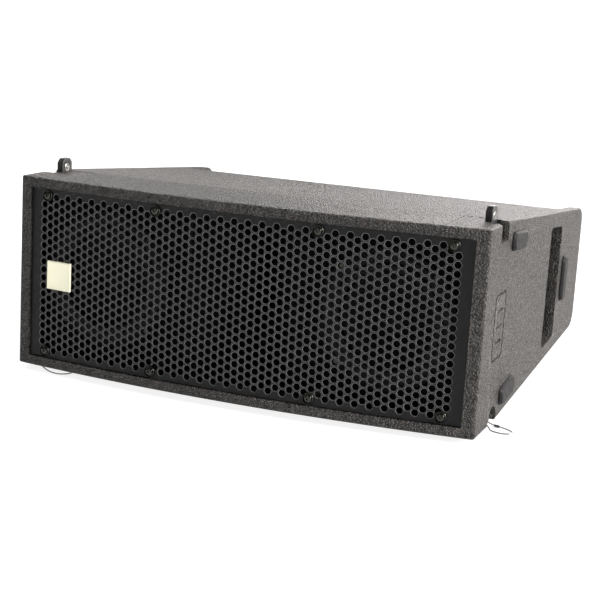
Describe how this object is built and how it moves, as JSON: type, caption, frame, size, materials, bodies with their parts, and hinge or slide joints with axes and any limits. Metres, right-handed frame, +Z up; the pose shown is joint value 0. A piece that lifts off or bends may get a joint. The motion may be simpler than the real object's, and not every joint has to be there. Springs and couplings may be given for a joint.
{
  "type": "line array speaker",
  "caption": "Compact wedge-shaped two-way line array element with a curved perforated grille, side handle cups, sliding link bars and quick-release pins.",
  "frame": {"origin": "centre of the bounding box's footprint, on the ground that the cabinet stands on", "axes": "+X to the right seen from the front, +Y from the grille to the rear panel, +Z up; the cabinet stands on its sloping underside, so its front leans back by its wedge angle"},
  "size_m": [0.629, 0.5387, 0.2519],
  "materials": {
    "cabinet_paint": "plywood under coarse structured black paint",
    "baffle_paint": "plywood under flat black paint",
    "grille_coat": "satin powder coat",
    "rigging_coat": "fine black powder coat",
    "frame_coat": "satin black",
    "bright_steel": "zinc plated",
    "dark_steel": "black oxide",
    "badge_plate": "satin",
    "rubber": "matt",
    "cone_paper": "pressed paper pulp",
    "spider_cloth": "woven and impregnated",
    "ferrite": "dull",
    "guide_plastic": "satin",
    "cup_plastic": "fine texture",
    "lining_felt": "needled felt",
    "circuit_board": "satin",
    "copper_wire": "enamelled",
    "capacitor_film": "satin",
    "resistor_cement": "matt",
    "socket_plastic": "satin",
    "wire_rope": "stranded",
    "ferrule_alloy": "swaged",
    "release_button": "black anodised"
  },
  "bodies": {
    "cabinet": {"badge": "badge_plate", "bottom_panel": "cabinet_paint", "cabinet_lining": "lining_felt", "compression_driver": "frame_coat", "connector_plate": "rigging_coat", "crossover_board": "circuit_board", "crossover_capacitors": "capacitor_film", "crossover_coils": "copper_wire", "crossover_resistors": "resistor_cement", "front_baffle": "baffle_paint", "grille": "grille_coat", "grille_posts": "bright_steel", "grille_screws": "dark_steel", "grille_washers": "dark_steel", "input_socket": "socket_plastic", "left_bumpers": "rubber", "left_corner_plate": "rigging_coat", "left_divider": "baffle_paint", "left_handle_cup": "cup_plastic", "left_rigging_tube": "rigging_coat", "left_side_panel": "cabinet_paint", "left_woofer_basket": "frame_coat", "left_woofer_magnet": "ferrite", "left_woofer_spider": "spider_cloth", "left_woofer_surround": "rubber", "link_socket": "socket_plastic", "panel_screws": "bright_steel", "rear_panel": "cabinet_paint", "rear_tray": "rigging_coat", "right_bumpers": "rubber", "right_corner_plate": "rigging_coat", "right_divider": "baffle_paint", "right_handle_cup": "cup_plastic", "right_rigging_tube": "rigging_coat", "right_side_panel": "cabinet_paint", "right_woofer_basket": "frame_coat", "right_woofer_magnet": "ferrite", "right_woofer_spider": "spider_cloth", "right_woofer_surround": "rubber", "splay_pivot": "bright_steel", "top_panel": "cabinet_paint", "waveguide": "guide_plastic", "woofer_screws": "dark_steel"},
    "splay": {"splay_link": "rigging_coat"},
    "rear_quick_pin": {"rear_pin": "bright_steel"},
    "rear_button": {"rear_pin_button": "release_button"},
    "left_cone": {"left_woofer_cone": "cone_paper", "left_dust_cap": "cone_paper"},
    "left_link": {"left_link_bar": "rigging_coat"},
    "left_quick_pin": {"left_pin": "bright_steel", "left_pull_loop": "wire_rope", "left_loop_ferrule": "ferrule_alloy"},
    "left_button": {"left_pin_button": "release_button"},
    "right_cone": {"right_woofer_cone": "cone_paper", "right_dust_cap": "cone_paper"},
    "right_link": {"right_link_bar": "rigging_coat"},
    "right_quick_pin": {"right_pin": "bright_steel", "right_pull_loop": "wire_rope", "right_loop_ferrule": "ferrule_alloy"},
    "right_button": {"right_pin_button": "release_button"}
  },
  "joints": [
    {"name": "left_cone_stroke", "type": "slide", "parent": "cabinet", "child": "left_cone", "axis": [0, 0.9968, -0.0802], "range_m": [-0.005, 0.005], "stiffness_N_per_m": 2000},
    {"name": "left_link_slide", "type": "slide", "parent": "cabinet", "child": "left_link", "axis": [0, 0.0802, 0.9968], "range_m": [-0.017, 0]},
    {"name": "left_pin_pull", "type": "slide", "parent": "cabinet", "child": "left_quick_pin", "axis": [-1, 0, 0], "range_m": [0, 0.03]},
    {"name": "left_button_press", "type": "slide", "parent": "left_quick_pin", "child": "left_button", "axis": [1, 0, 0], "range_m": [0, 0.002], "stiffness_N_per_m": 500},
    {"name": "right_cone_stroke", "type": "slide", "parent": "cabinet", "child": "right_cone", "axis": [0, 0.9968, -0.0802], "range_m": [-0.005, 0.005], "stiffness_N_per_m": 2000},
    {"name": "right_link_slide", "type": "slide", "parent": "cabinet", "child": "right_link", "axis": [0, 0.0802, 0.9968], "range_m": [-0.017, 0]},
    {"name": "right_pin_pull", "type": "slide", "parent": "cabinet", "child": "right_quick_pin", "axis": [1, 0, 0], "range_m": [0, 0.03]},
    {"name": "right_button_press", "type": "slide", "parent": "right_quick_pin", "child": "right_button", "axis": [-1, 0, 0], "range_m": [0, 0.002], "stiffness_N_per_m": 500},
    {"name": "splay_swing", "type": "hinge", "parent": "cabinet", "child": "splay", "pos_m": [0, 0.14501, 0.13235], "axis": [1, 0, 0], "range_deg": [0, 95]},
    {"name": "rear_pin_pull", "type": "slide", "parent": "cabinet", "child": "rear_quick_pin", "axis": [1, 0, 0], "range_m": [0, 0.03]},
    {"name": "rear_button_press", "type": "slide", "parent": "rear_quick_pin", "child": "rear_button", "axis": [-1, 0, 0], "range_m": [0, 0.002], "stiffness_N_per_m": 500}
  ]
}
